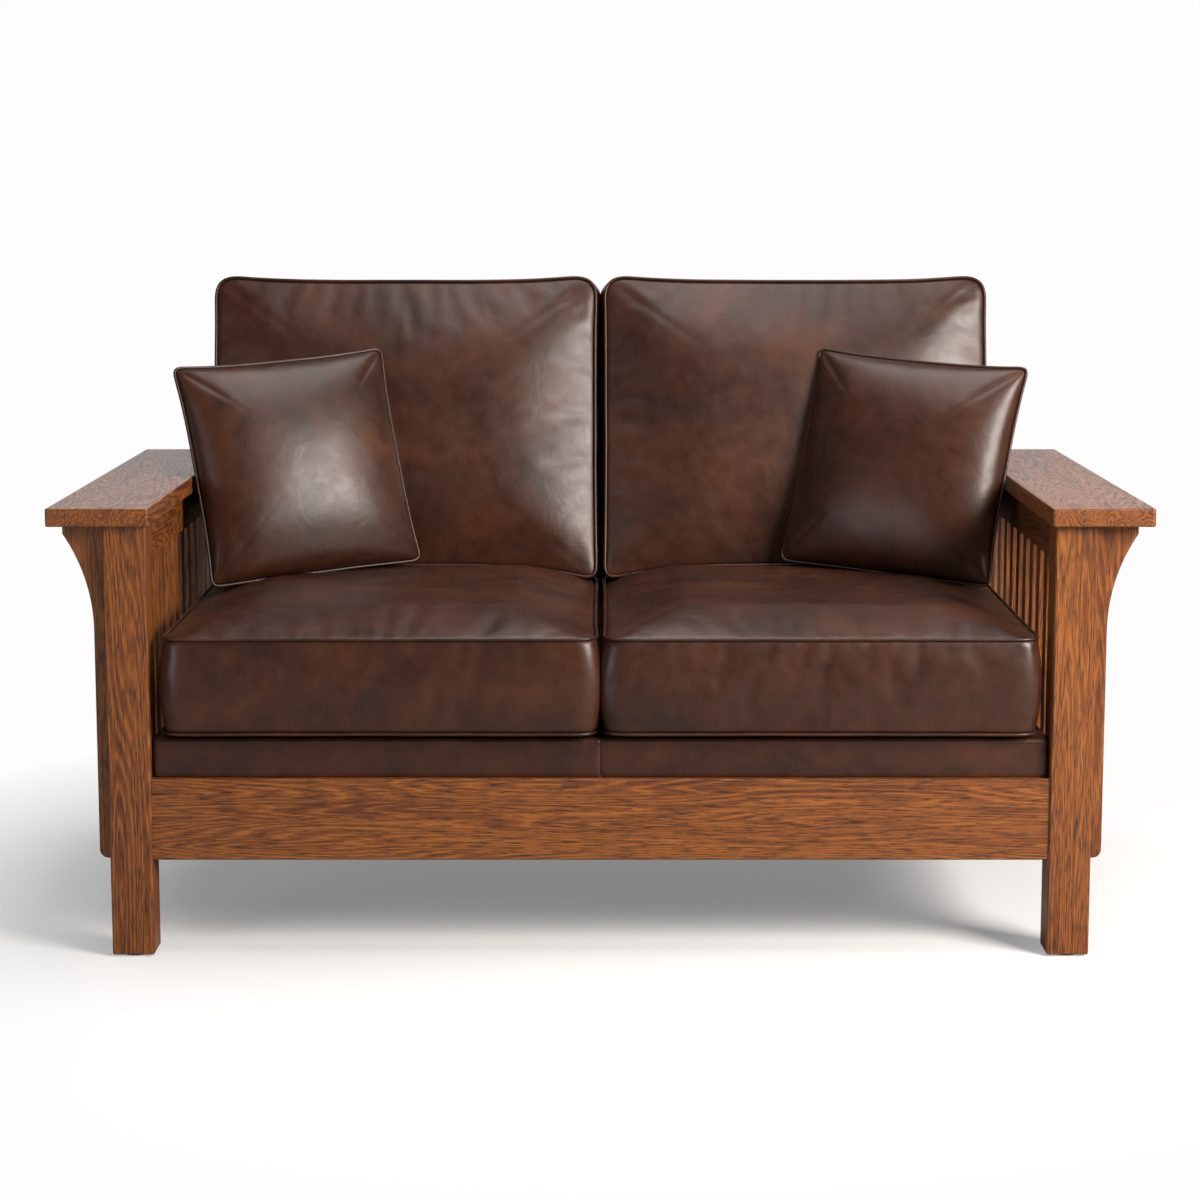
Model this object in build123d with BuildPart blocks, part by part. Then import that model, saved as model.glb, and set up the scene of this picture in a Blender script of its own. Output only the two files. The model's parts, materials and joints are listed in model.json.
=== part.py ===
from build123d import *
from dataclasses import dataclass, replace
from math import cos, radians, sin, tan
import os

os.makedirs("parts", exist_ok=True)

# The loveseat faces -Y, +X is to the right of someone who looks at its front, and it stands on Z = 0.
# Lengths are in millimetres and angles in degrees. Left and right are those of the person looking.
sides = (("left", -1), ("right", 1))

# Arms
arm_length = 909
arm_half_span = 790
arm_width = 147.5
arm_thickness = 26
arm_top = 660
arm_edge = 2.5

# Legs, with a thin glide under each foot
leg_size = 61
leg_inner = 651
leg_edge = 2
front_leg_setback = 18
rear_leg_setback = 32
glide_thickness = 3
glide_radius = 22
glide_pin_radius = 2.5
glide_pin_length = 16
fit_clearance = 0.2

# Rails of the four sides
rail_low = 144
rail_high = 264
rail_thickness = 26
rail_inset = 9
front_rail_recess = 4
top_rail_height = 59
rail_edge = 1.5
tenon_thickness = 12
tenon_length = 20
tenon_shoulder = 10

# Side spindles
spindle_count = 10
spindle_width = 32
spindle_thickness = 14
spindle_tenon = 8

# Corbels outside the legs
corbel_thickness = 24
corbel_reach = 60
corbel_foot = 18
corbel_lip = 14
corbel_sweep = 140
corbel_corner = 12.5

# Glue blocks inside the corners, dowels, screws and bolts
block_leg = 30
block_margin = 18
dowel_radius = 4
dowel_length = 40
dowel_spread = 30
screw_radius = 2.2
screw_head_radius = 4.4
screw_head_height = 3
screw_length = 42
screw_sink = 4
corbel_screw_margin = 60
cleat_width = 28
cleat_height = 24
cleat_end_gap = 60
cleat_screw_count = 4
bolt_radius = 4
bolt_head_radius = 8
bolt_head_height = 5
bolt_sink = 6
bolt_nut_reserve = 8

# Seat deck: a sprung timber frame with a pad, a cloth top and a leather band along its front
deck_half_width = 648
deck_recess = 11
deck_timber_height = 45
deck_timber_width = 45
deck_rear_lap = 17
pad_thickness = 11
cloth_thickness = 2
band_thickness = 3
band_return = 60
band_corner = 8
band_seam_gap = 0.6
dust_cloth_thickness = 0.8
spring_count = 8
spring_wire_radius = 1.8
spring_half_width = 24
spring_bend_radius = 9
spring_bend_count = 21
spring_drop = 6
spring_lead = 30
clip_length = 14
clip_width = 22
clip_height = 9

# Seat cushions
cushion_gap = 14
seat_width = 625
seat_setback = 12
seat_bottom_seam = 332
seat_boxing = 137
seat_crown = 34
seat_crown_run = 150
seat_foot_run = 60
seat_corner = 26
seat_draw = 5
seat_bulge = 4
soft_clearance = 0.3

# Back cushions
back_lean = 15
back_width = 624
back_cushion_gap = 20
back_reach = 563
back_top = 966
back_boxing = 135
back_crown = 22
back_rear_crown = 12
back_crown_run = 130
back_rear_run = 60
back_corner = 35
back_draw = 8
back_bulge = 4
back_settle = 10

# Loose pillows in the corners
pillow_side = 352
pillow_swell = 60
pillow_run = 150
pillow_edge = 3
pillow_corner = 12
pillow_draw = 14
pillow_yaw = 25.2
pillow_lean = 17.8
pillow_twist = 3.8
pillow_off_middle = 483
pillow_reach = 498.7
pillow_rise = 168.7

# Covers, cores and welts
leather_thickness = 2
core_clearance = 0.5
welt_radius = 3
welt_bite = 1

# Back frame between the arms, behind the back cushions
back_frame_top = 900
back_frame_thickness = 26
stile_outer = 641
stile_width = 40
back_rail_height = 60
slat_count = 13
slat_width = 48
slat_thickness = 14
slat_tenon = 12
back_block_size = 44

# Shares: how far in, and how high, a crown has come at each of its outlines
crown_inset_shares = (0, 0.3, 0.64, 1)
crown_rise_shares = (0, 0.56, 0.88, 1)
cushion_soften_share = 0.5
pillow_soften_share = 0.06
plateau_draw_share = 0.15
half_share = 0.5

# Places worked out from the sizes above
arm_front = -arm_length / 2
arm_back = arm_length / 2
arm_under = arm_top - arm_thickness
arm_inner = arm_half_span - arm_width
leg_outer = leg_inner + leg_size
leg_middle = leg_inner + leg_size / 2
leg_length = arm_under - glide_thickness
front_leg_face = arm_front + front_leg_setback
front_leg_middle = front_leg_face + leg_size / 2
front_leg_back = front_leg_face + leg_size
rear_leg_face = arm_back - rear_leg_setback
rear_leg_middle = rear_leg_face - leg_size / 2
rear_leg_front = rear_leg_face - leg_size
side_middle = (front_leg_back + rear_leg_front) / 2
side_clear = rear_leg_front - front_leg_back
side_rail_inner = leg_inner + rail_inset
side_rail_middle = side_rail_inner + rail_thickness / 2
rail_height = rail_high - rail_low
rail_middle_z = (rail_low + rail_high) / 2
top_rail_low = arm_under - top_rail_height
top_rail_middle_z = (top_rail_low + arm_under) / 2
front_rail_middle = front_leg_face + front_rail_recess + rail_thickness / 2
rear_rail_middle = rear_leg_face - front_rail_recess - rail_thickness / 2
front_rail_back = front_rail_middle + rail_thickness / 2
rear_rail_front = rear_rail_middle - rail_thickness / 2
leg_places = (
    ("front", front_leg_middle, front_leg_back, front_rail_middle),
    ("rear", rear_leg_middle, rear_leg_front, rear_rail_middle),
)

deck_front = front_leg_face + front_rail_recess + deck_recess
deck_back = rear_rail_middle + deck_rear_lap / 2
deck_low = rail_high
deck_wood_top = deck_low + deck_timber_height
deck_top = deck_wood_top + pad_thickness + cloth_thickness
cleat_length = side_clear - 2 * cleat_end_gap

seat_front = arm_front + seat_setback
seat_bottom = deck_top + soft_clearance
seat_foot = seat_bottom_seam - seat_bottom
seat_top = seat_bottom_seam + seat_boxing + seat_crown
seat_middle_x = (seat_width + cushion_gap) / 2

lean = radians(back_lean)
back_bottom = seat_top - back_settle + soft_clearance + welt_radius + welt_radius - welt_bite
back_seam_y = seat_front + back_reach
back_depth = back_rear_crown + back_boxing
back_middle_x = (back_width + back_cushion_gap) / 2
back_plateau_y = back_seam_y + back_depth / cos(lean)
back_normal = (0, -cos(lean), sin(lean))
back_high = (back_top - back_bottom - back_depth * sin(lean)) / cos(lean)


def slat_face_y(z):
    """Where the front of the back frame stands at the height z."""
    return back_plateau_y + soft_clearance / cos(lean) + (z - back_bottom) * tan(lean)


back_frame = Plane(origin=(0, slat_face_y(deck_wood_top), deck_wood_top), x_dir=(1, 0, 0), z_dir=back_normal)
frame_reach = (back_frame_top - deck_wood_top) / cos(lean)
stile_middle = stile_outer - stile_width / 2
stile_inner = stile_outer - stile_width
back_rail_low_middle = back_rail_height
back_rail_high_middle = frame_reach - back_rail_height / 2
slat_span = back_rail_high_middle - back_rail_low_middle - back_rail_height
block_middle_z = top_rail_middle_z
block_middle_y = slat_face_y(block_middle_z) + back_frame_thickness / 2 / cos(lean)
bolt_start = stile_inner + bolt_sink
bolt_end = side_rail_inner + rail_thickness - bolt_nut_reserve


def spread(low, high, count, width):
    """Middles of count pieces of one width, with equal gaps between them and at both ends."""
    gap = (high - low - count * width) / (count + 1)
    return [low + gap + width / 2 + index * (gap + width) for index in range(count)]


spindle_places = spread(front_leg_back, rear_leg_front, spindle_count, spindle_width)
slat_places = spread(-stile_inner, stile_inner, slat_count, slat_width)
cleat_screw_places = spread(
    side_middle - cleat_length / 2, side_middle + cleat_length / 2, cleat_screw_count, screw_head_radius
)
corbel_screw_heights = (rail_low + corbel_screw_margin, arm_under - corbel_sweep - corbel_screw_margin)


def crosswise_pin(radius, start, end, y, z, mode=Mode.ADD):
    """A round pin or bore along X, from start to end."""
    with Locations(Location(((start + end) / 2, y, z), (0, 90, 0))):
        Cylinder(radius, abs(end - start), mode=mode)


def finish(piece, name):
    """Names a finished piece and writes its file."""
    piece.part.label = name
    export_step(piece.part, "parts/" + name + ".step")


# Legs, with mortises for the rails, bores for the arm dowels and the corbel screws,
# and a hole for the glide's pin
for end_name, leg_y, rail_face, cross_rail_y in leg_places:
    for side_name, side in sides:
        with BuildPart() as leg:
            with BuildSketch(Plane.XY.offset(glide_thickness)):
                with Locations((side * leg_middle, leg_y)):
                    Rectangle(leg_size, leg_size)
            extrude(amount=leg_length)
            chamfer(leg.edges().filter_by(Axis.Z) + leg.edges().group_by(Axis.Z)[0], leg_edge)
            with Locations((side * side_rail_middle, rail_face, rail_middle_z)):
                Box(
                    tenon_thickness + 2 * fit_clearance,
                    2 * (tenon_length + fit_clearance),
                    rail_height - 2 * (tenon_shoulder - fit_clearance),
                    mode=Mode.SUBTRACT,
                )
            with Locations((side * side_rail_middle, rail_face, top_rail_middle_z)):
                Box(
                    tenon_thickness + 2 * fit_clearance,
                    2 * (tenon_length + fit_clearance),
                    top_rail_height - 2 * (tenon_shoulder - fit_clearance),
                    mode=Mode.SUBTRACT,
                )
            with Locations((side * leg_inner, cross_rail_y, rail_middle_z)):
                Box(
                    2 * (tenon_length + fit_clearance),
                    tenon_thickness + 2 * fit_clearance,
                    rail_height - 2 * (tenon_shoulder - fit_clearance),
                    mode=Mode.SUBTRACT,
                )
            with Locations((side * leg_middle, leg_y, arm_under)):
                with GridLocations(dowel_spread, dowel_spread, 2, 1):
                    Cylinder(
                        dowel_radius + fit_clearance, dowel_length + 2 * fit_clearance, mode=Mode.SUBTRACT
                    )
            with Locations((side * leg_middle, leg_y, glide_thickness)):
                Cylinder(
                    glide_pin_radius + fit_clearance,
                    2 * (glide_pin_length + fit_clearance),
                    mode=Mode.SUBTRACT,
                )
            for height in corbel_screw_heights:
                tip = leg_outer + corbel_foot - screw_sink - screw_length - fit_clearance
                crosswise_pin(
                    screw_radius + fit_clearance, side * tip, side * leg_outer, leg_y, height, Mode.SUBTRACT
                )
        finish(leg, "leg_" + end_name + "_" + side_name)

# Glides, each with a pin up into its leg
with BuildPart() as floor_glides:
    for end_name, leg_y, rail_face, cross_rail_y in leg_places:
        for side_name, side in sides:
            with BuildSketch(Plane.XY):
                with Locations((side * leg_middle, leg_y)):
                    Circle(glide_radius)
            extrude(amount=glide_thickness)
            with BuildSketch(Plane.XY.offset(glide_thickness)):
                with Locations((side * leg_middle, leg_y)):
                    Circle(glide_pin_radius)
            extrude(amount=glide_pin_length)
finish(floor_glides, "floor_glides")

# Arms: wide flat boards on the legs, with blind bores for the dowels under them
for side_name, side in sides:
    with BuildPart() as arm:
        with BuildSketch(Plane.XY.offset(arm_under)):
            with Locations((side * (arm_inner + arm_width / 2), 0)):
                Rectangle(arm_width, arm_length)
        extrude(amount=arm_thickness)
        fillet(arm.edges().filter_by(Axis.Z), 2 * arm_edge)
        fillet(arm.edges().group_by(Axis.Z)[-1] + arm.edges().group_by(Axis.Z)[0], arm_edge)
        with Locations((side * leg_middle, front_leg_middle, arm_under)):
            with GridLocations(dowel_spread, dowel_spread, 2, 1):
                Cylinder(dowel_radius + fit_clearance, dowel_length + 2 * fit_clearance, mode=Mode.SUBTRACT)
        with Locations((side * leg_middle, rear_leg_middle, arm_under)):
            with GridLocations(dowel_spread, dowel_spread, 2, 1):
                Cylinder(dowel_radius + fit_clearance, dowel_length + 2 * fit_clearance, mode=Mode.SUBTRACT)
    finish(arm, "arm_" + side_name)

with BuildPart() as arm_dowels:
    for end_name, leg_y, rail_face, cross_rail_y in leg_places:
        for side_name, side in sides:
            with Locations((side * leg_middle, leg_y, arm_under)):
                with GridLocations(dowel_spread, dowel_spread, 2, 1):
                    Cylinder(dowel_radius, dowel_length)
finish(arm_dowels, "arm_dowels")

# Corbels: a short upright lip, one concave sweep, then straight down to the bottom of the rails
for end_name, leg_y, rail_face, cross_rail_y in leg_places:
    for side_name, side in sides:
        with BuildPart() as corbel:
            with BuildSketch(Plane.XZ.offset(-leg_y)) as profile:
                with BuildLine():
                    foot = leg_outer + corbel_foot
                    top = leg_outer + corbel_reach
                    bend = arm_under - corbel_lip - corbel_sweep
                    Polyline(
                        (side * top, arm_under - corbel_lip),
                        (side * top, arm_under),
                        (side * leg_outer, arm_under),
                        (side * leg_outer, rail_low),
                        (side * foot, rail_low),
                        (side * foot, bend),
                    )
                    TangentArc(
                        (side * foot, bend), (side * top, arm_under - corbel_lip), tangent=(0, 1)
                    )
                make_face()
                outer_foot = profile.vertices().group_by(Axis.Y)[0].sort_by(Axis.X)
                fillet(outer_foot[-1] if side > 0 else outer_foot[0], corbel_corner)
            extrude(amount=corbel_thickness / 2, both=True)
            for height in corbel_screw_heights:
                crosswise_pin(
                    screw_radius + fit_clearance,
                    side * leg_outer,
                    side * (leg_outer + corbel_foot),
                    leg_y,
                    height,
                    Mode.SUBTRACT,
                )
                crosswise_pin(
                    screw_head_radius + fit_clearance,
                    side * (leg_outer + corbel_foot - screw_sink - screw_head_height),
                    side * (leg_outer + corbel_foot),
                    leg_y,
                    height,
                    Mode.SUBTRACT,
                )
        finish(corbel, "corbel_" + end_name + "_" + side_name)

# Side rails with a tenon at each end, and mortises for the spindles in the faces that look at each other
for side_name, side in sides:
    with BuildPart() as top_rail:
        with Locations((side * side_rail_middle, side_middle, top_rail_middle_z)):
            Box(rail_thickness, side_clear, top_rail_height)
            Box(tenon_thickness, side_clear + 2 * tenon_length, top_rail_height - 2 * tenon_shoulder)
        for place in spindle_places:
            with Locations((side * side_rail_middle, place, top_rail_low)):
                Box(
                    spindle_thickness + 2 * fit_clearance,
                    spindle_width + 2 * fit_clearance,
                    2 * (spindle_tenon + fit_clearance),
                    mode=Mode.SUBTRACT,
                )
        crosswise_pin(
            bolt_radius + fit_clearance,
            side * side_rail_inner,
            side * (bolt_end + fit_clearance),
            block_middle_y,
            block_middle_z,
            Mode.SUBTRACT,
        )
    finish(top_rail, "side_top_rail_" + side_name)

    with BuildPart() as bottom_rail:
        with Locations((side * side_rail_middle, side_middle, rail_middle_z)):
            Box(rail_thickness, side_clear, rail_height)
            Box(tenon_thickness, side_clear + 2 * tenon_length, rail_height - 2 * tenon_shoulder)
        for place in spindle_places:
            with Locations((side * side_rail_middle, place, rail_high)):
                Box(
                    spindle_thickness + 2 * fit_clearance,
                    spindle_width + 2 * fit_clearance,
                    2 * (spindle_tenon + fit_clearance),
                    mode=Mode.SUBTRACT,
                )
        for place in cleat_screw_places:
            crosswise_pin(
                screw_radius + fit_clearance,
                side * side_rail_inner,
                side * (side_rail_inner - cleat_width + screw_sink + screw_length + fit_clearance),
                place,
                rail_high - cleat_height / 2,
                Mode.SUBTRACT,
            )
    finish(bottom_rail, "side_bottom_rail_" + side_name)

    with BuildPart() as spindles:
        for place in spindle_places:
            with Locations((side * side_rail_middle, place, (rail_high + top_rail_low) / 2)):
                Box(spindle_thickness, spindle_width, top_rail_low - rail_high + 2 * spindle_tenon)
    finish(spindles, "side_spindles_" + side_name)

# Front and rear rails between the legs
for end_name, leg_y, rail_face, cross_rail_y in leg_places:
    with BuildPart() as cross_rail:
        with Locations((0, cross_rail_y, rail_middle_z)):
            Box(2 * leg_inner, rail_thickness, rail_height)
        chamfer(cross_rail.edges().filter_by(Axis.X), rail_edge)
        with Locations((0, cross_rail_y, rail_middle_z)):
            Box(2 * (leg_inner + tenon_length), tenon_thickness, rail_height - 2 * tenon_shoulder)
    finish(cross_rail, end_name + "_rail")

# Glue blocks in the four corners between the cross rails and the legs
with BuildPart() as corner_blocks:
    for side_name, side in sides:
        for face_y, way in ((front_rail_back, 1), (rear_rail_front, -1)):
            with BuildSketch(Plane.XY.offset(rail_low + block_margin)):
                with BuildLine():
                    Polyline(
                        (side * leg_inner, face_y),
                        (side * (leg_inner - block_leg), face_y),
                        (side * leg_inner, face_y + way * block_leg),
                        close=True,
                    )
                make_face()
            extrude(amount=rail_height - 2 * block_margin)
finish(corner_blocks, "corner_blocks")

# Cleats on the side rails, which carry the seat deck
with BuildPart() as deck_cleats:
    for side_name, side in sides:
        cleat_middle_x = side * (side_rail_inner - cleat_width / 2)
        with Locations((cleat_middle_x, side_middle, rail_high - cleat_height / 2)):
            Box(cleat_width, cleat_length, cleat_height)
        for place in cleat_screw_places:
            crosswise_pin(
                screw_radius + fit_clearance,
                side * (side_rail_inner - cleat_width),
                side * side_rail_inner,
                place,
                rail_high - cleat_height / 2,
                Mode.SUBTRACT,
            )
            crosswise_pin(
                screw_head_radius + fit_clearance,
                side * (side_rail_inner - cleat_width),
                side * (side_rail_inner - cleat_width + screw_sink + screw_head_height),
                place,
                rail_high - cleat_height / 2,
                Mode.SUBTRACT,
            )
finish(deck_cleats, "deck_cleats")


def screw(head, way, y, z):
    """A screw along X whose head begins at head and whose shank runs the given way."""
    crosswise_pin(screw_head_radius, head, head + way * screw_head_height, y, z)
    crosswise_pin(screw_radius, head, head + way * screw_length, y, z)


with BuildPart() as frame_screws:
    for side_name, side in sides:
        for end_name, leg_y, rail_face, cross_rail_y in leg_places:
            for height in corbel_screw_heights:
                screw(side * (leg_outer + corbel_foot - screw_sink), -side, leg_y, height)
        for place in cleat_screw_places:
            head = side * (side_rail_inner - cleat_width + screw_sink)
            screw(head, side, place, rail_high - cleat_height / 2)
finish(frame_screws, "frame_screws")

# Timbers of the seat deck
deck_length = deck_back - deck_front - band_thickness
deck_timber_front = deck_front + band_thickness
deck_timber_middle_z = deck_low + deck_timber_height / 2
deck_inner_length = deck_length - 2 * deck_timber_width
deck_inner_middle = deck_timber_front + deck_length / 2
for name, timber_y in (
    ("deck_rail_front", deck_timber_front + deck_timber_width / 2),
    ("deck_rail_rear", deck_back - deck_timber_width / 2),
):
    with BuildPart() as timber:
        with Locations((0, timber_y, deck_timber_middle_z)):
            Box(2 * deck_half_width, deck_timber_width, deck_timber_height)
    finish(timber, name)
for name, timber_x in (
    ("deck_rail_left", -(deck_half_width - deck_timber_width / 2)),
    ("deck_rail_right", deck_half_width - deck_timber_width / 2),
    ("deck_rail_middle", 0),
):
    with BuildPart() as timber:
        with Locations((timber_x, deck_inner_middle, deck_timber_middle_z)):
            Box(deck_timber_width, deck_inner_length, deck_timber_height)
    finish(timber, name)

# Sinuous springs from the front timber to the rear one, each end in a clip
spring_low = deck_timber_front + deck_timber_width
spring_high = deck_back - deck_timber_width
spring_z = deck_wood_top - spring_drop
half_bay = (deck_half_width - deck_timber_width - deck_timber_width / 2) / (spring_count / 2)
spring_places = [
    side * (deck_timber_width / 2 + half_bay * (index + half_share))
    for side_name, side in sides
    for index in range(spring_count // 2)
]
spring_step = (spring_high - spring_low - 2 * (clip_length + spring_lead)) / (spring_bend_count - 1)


def spring_route(x):
    """Points of one spring: straight in at the front clip, from side to side, straight out at the rear."""
    first = spring_low + clip_length + spring_lead
    points = [(x, spring_low + fit_clearance), (x, first - spring_step / 2)]
    for bend in range(spring_bend_count):
        way = 1 if bend % 2 else -1
        points.append((x + way * spring_half_width, first + (bend - half_share) * spring_step))
        points.append((x + way * spring_half_width, first + (bend + half_share) * spring_step))
    points.append((x, first + (spring_bend_count - half_share) * spring_step))
    points.append((x, spring_high - fit_clearance))
    return points


with BuildPart() as sinuous_springs:
    for x in spring_places:
        with BuildLine(Plane.XY.offset(spring_z)) as route:
            FilletPolyline(*spring_route(x), radius=spring_bend_radius)
        with BuildSketch(Plane(origin=route.wire() @ 0, z_dir=route.wire() % 0)):
            Circle(spring_wire_radius)
        sweep(path=route.wire())
finish(sinuous_springs, "sinuous_springs")

with BuildPart() as spring_clips:
    for x in spring_places:
        for face, way in ((spring_low, 1), (spring_high, -1)):
            with Locations((x, face + way * clip_length / 2, spring_z)):
                Box(clip_width, clip_length, clip_height)
            with Locations(Location((x, face + way * clip_length / 2, spring_z), (90, 0, 0))):
                Cylinder(spring_wire_radius + fit_clearance, clip_length, mode=Mode.SUBTRACT)
finish(spring_clips, "spring_clips")

# Pad on the timbers and its cloth top, as wide as the deck in front of the back frame
# and as wide as the room between the stiles under and behind it
pad_back = slat_face_y(deck_wood_top) - soft_clearance
pad_front = deck_timber_front
rear_half_width = stile_inner - soft_clearance
with BuildPart() as deck_pad:
    with Locations((0, (pad_front + pad_back) / 2, deck_wood_top + pad_thickness / 2)):
        Box(2 * deck_half_width, pad_back - pad_front, pad_thickness)
    front_edge = deck_pad.edges().filter_by(Axis.X).group_by(Axis.Z)[-1].sort_by(Axis.Y)[0]
    fillet(front_edge, band_corner - band_thickness)
    with Locations((0, (pad_back + deck_back) / 2, deck_wood_top + pad_thickness / 2)):
        Box(2 * rear_half_width, deck_back - pad_back, pad_thickness)
finish(deck_pad, "deck_pad")

cloth_front = deck_front + band_return
with BuildPart() as deck_cloth:
    with Locations((0, (cloth_front + pad_back) / 2, deck_top - cloth_thickness / 2)):
        Box(2 * deck_half_width, pad_back - cloth_front, cloth_thickness)
    with Locations((0, (pad_back + deck_back) / 2, deck_top - cloth_thickness / 2)):
        Box(2 * rear_half_width, deck_back - pad_back, cloth_thickness)
finish(deck_cloth, "deck_cloth")

# The leather band over the deck's front, in two halves sewn together at the middle
for side_name, side in sides:
    half_length = deck_half_width - band_seam_gap / 2
    with BuildPart() as band:
        with BuildSketch(Plane.YZ.offset(side * (deck_half_width + band_seam_gap / 2) / 2)) as profile:
            with BuildLine():
                Polyline(
                    (deck_front, deck_low),
                    (deck_front, deck_top),
                    (cloth_front, deck_top),
                    (cloth_front, deck_top - cloth_thickness),
                    (deck_timber_front, deck_top - cloth_thickness),
                    (deck_timber_front, deck_low),
                    close=True,
                )
            make_face()
            outer_corner = profile.vertices().group_by(Axis.Y)[-1].sort_by(Axis.X)[0]
            fillet(outer_corner, band_corner)
            inner_corner = (
                profile.vertices()
                .filter_by(lambda v: abs(v.X - deck_timber_front) < fit_clearance)
                .sort_by(Axis.Y)[-1]
            )
            fillet(inner_corner, band_corner - band_thickness)
        extrude(amount=half_length / 2, both=True)
    finish(band, "deck_band_" + side_name)

# Black cloth under the deck
dust_half_width = side_rail_inner - cleat_width - screw_head_radius
dust_front = front_rail_back + fit_clearance
dust_back = rear_rail_front - fit_clearance
with BuildPart() as dust_cloth:
    with Locations((0, (dust_front + dust_back) / 2, deck_low - dust_cloth_thickness / 2)):
        Box(2 * dust_half_width, dust_back - dust_front, dust_cloth_thickness)
finish(dust_cloth, "dust_cloth")

# Back frame: two stiles that stand on the deck's side timbers, two rails and upright slats
for side_name, side in sides:
    with BuildPart() as stile:
        with BuildSketch(back_frame):
            with Locations((side * stile_middle, frame_reach / 2)):
                Rectangle(stile_width, frame_reach + 2 * back_frame_thickness)
        extrude(amount=-back_frame_thickness)
        split(bisect_by=Plane.XY.offset(deck_wood_top), keep=Keep.TOP)
        split(bisect_by=Plane.XY.offset(back_frame_top), keep=Keep.BOTTOM)
        for rail_middle in (back_rail_low_middle, back_rail_high_middle):
            with BuildSketch(back_frame.offset(-(back_frame_thickness - tenon_thickness) / 2)):
                with Locations((side * stile_inner, rail_middle)):
                    Rectangle(
                        2 * (tenon_length + fit_clearance),
                        back_rail_height - 2 * (tenon_shoulder - fit_clearance),
                    )
            extrude(amount=-tenon_thickness, mode=Mode.SUBTRACT)
        crosswise_pin(
            bolt_radius + fit_clearance,
            side * stile_inner,
            side * stile_outer,
            block_middle_y,
            block_middle_z,
            Mode.SUBTRACT,
        )
        crosswise_pin(
            bolt_head_radius + fit_clearance,
            side * stile_inner,
            side * (bolt_start + bolt_head_height),
            block_middle_y,
            block_middle_z,
            Mode.SUBTRACT,
        )
    finish(stile, "back_stile_" + side_name)

for name, rail_middle, mortise_way in (
    ("back_bottom_rail", back_rail_low_middle, 1),
    ("back_top_rail", back_rail_high_middle, -1),
):
    with BuildPart() as back_rail:
        with BuildSketch(back_frame):
            with Locations((0, rail_middle)):
                Rectangle(2 * stile_inner, back_rail_height)
        extrude(amount=-back_frame_thickness)
        with BuildSketch(back_frame.offset(-(back_frame_thickness - tenon_thickness) / 2 - fit_clearance)):
            with Locations((0, rail_middle)):
                Rectangle(2 * (stile_inner + tenon_length), back_rail_height - 2 * tenon_shoulder)
        extrude(amount=-(tenon_thickness - 2 * fit_clearance))
        with BuildSketch(back_frame):
            for place in slat_places:
                with Locations((place, rail_middle + mortise_way * back_rail_height / 2)):
                    Rectangle(slat_width + 2 * fit_clearance, 2 * (slat_tenon + fit_clearance))
        extrude(amount=-(slat_thickness + fit_clearance), mode=Mode.SUBTRACT)
    finish(back_rail, name)

with BuildPart() as back_slats:
    with BuildSketch(back_frame):
        for place in slat_places:
            with Locations((place, (back_rail_low_middle + back_rail_high_middle) / 2)):
                Rectangle(slat_width, slat_span + 2 * slat_tenon)
    extrude(amount=-slat_thickness)
finish(back_slats, "back_slats")

# Spacer blocks between the stiles and the side rails, each with a bolt right through
with BuildPart() as back_blocks:
    for side_name, side in sides:
        with Locations((side * (stile_outer + side_rail_inner) / 2, block_middle_y, block_middle_z)):
            Box(side_rail_inner - stile_outer, back_block_size, back_block_size)
        crosswise_pin(
            bolt_radius + fit_clearance,
            side * stile_outer,
            side * side_rail_inner,
            block_middle_y,
            block_middle_z,
            Mode.SUBTRACT,
        )
finish(back_blocks, "back_blocks")

with BuildPart() as back_bolts:
    for side_name, side in sides:
        crosswise_pin(
            bolt_head_radius,
            side * bolt_start,
            side * (bolt_start + bolt_head_height),
            block_middle_y,
            block_middle_z,
        )
        crosswise_pin(bolt_radius, side * bolt_start, side * bolt_end, block_middle_y, block_middle_z)
finish(back_bolts, "back_bolts")


@dataclass
class Pad:
    """A sewn pad on a plane: its outline at the seams, its boxing between them and its two crowns.

    The first crown begins at the plane. Along the plane's normal come the first seam, the boxing,
    the second seam and the second crown. slope is how far the low side drops for each length of rise.
    """

    half_width: float
    low: float
    high: float
    corner: float
    draw: float
    boxing: float
    bulge: float
    first_run: float
    first_rise: float
    second_run: float
    second_rise: float
    soften_share: float
    slope: float = 0


def outline(plane, half_width, low, high, corner, draw):
    """A rectangle whose sides are drawn in between its rounded corners."""
    middle = (low + high) / 2
    with BuildSketch(plane) as shape:
        with BuildLine():
            ThreePointArc((-half_width, low), (0, low + draw), (half_width, low))
            ThreePointArc((half_width, low), (half_width - draw, middle), (half_width, high))
            ThreePointArc((half_width, high), (0, high - draw), (-half_width, high))
            ThreePointArc((-half_width, high), (-half_width + draw, middle), (-half_width, low))
        make_face()
        fillet(shape.vertices(), corner)
    return shape.sketch.face()


def seam(pad, plane, level, grow):
    """The outline of the pad at one level above its plane, grown outwards."""
    return outline(
        plane.offset(level),
        pad.half_width + grow,
        pad.low - level * pad.slope - grow,
        pad.high + grow,
        pad.corner + grow,
        pad.draw,
    )


def crown(pad, plane, level, run, rise):
    """One crown, from the seam at a level up or down to its flat top."""
    rings = []
    for inset_share, rise_share in zip(crown_inset_shares, crown_rise_shares):
        height = level + rise * rise_share
        inset = run * inset_share
        ring = outline(
            plane.offset(height),
            pad.half_width - inset,
            pad.low - height * pad.slope + inset,
            pad.high - inset,
            pad.corner + inset * pad.soften_share,
            pad.draw * (1 - inset_share * (1 - plateau_draw_share)),
        )
        rings.append(ring)
    loft(sections=rings)


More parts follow.
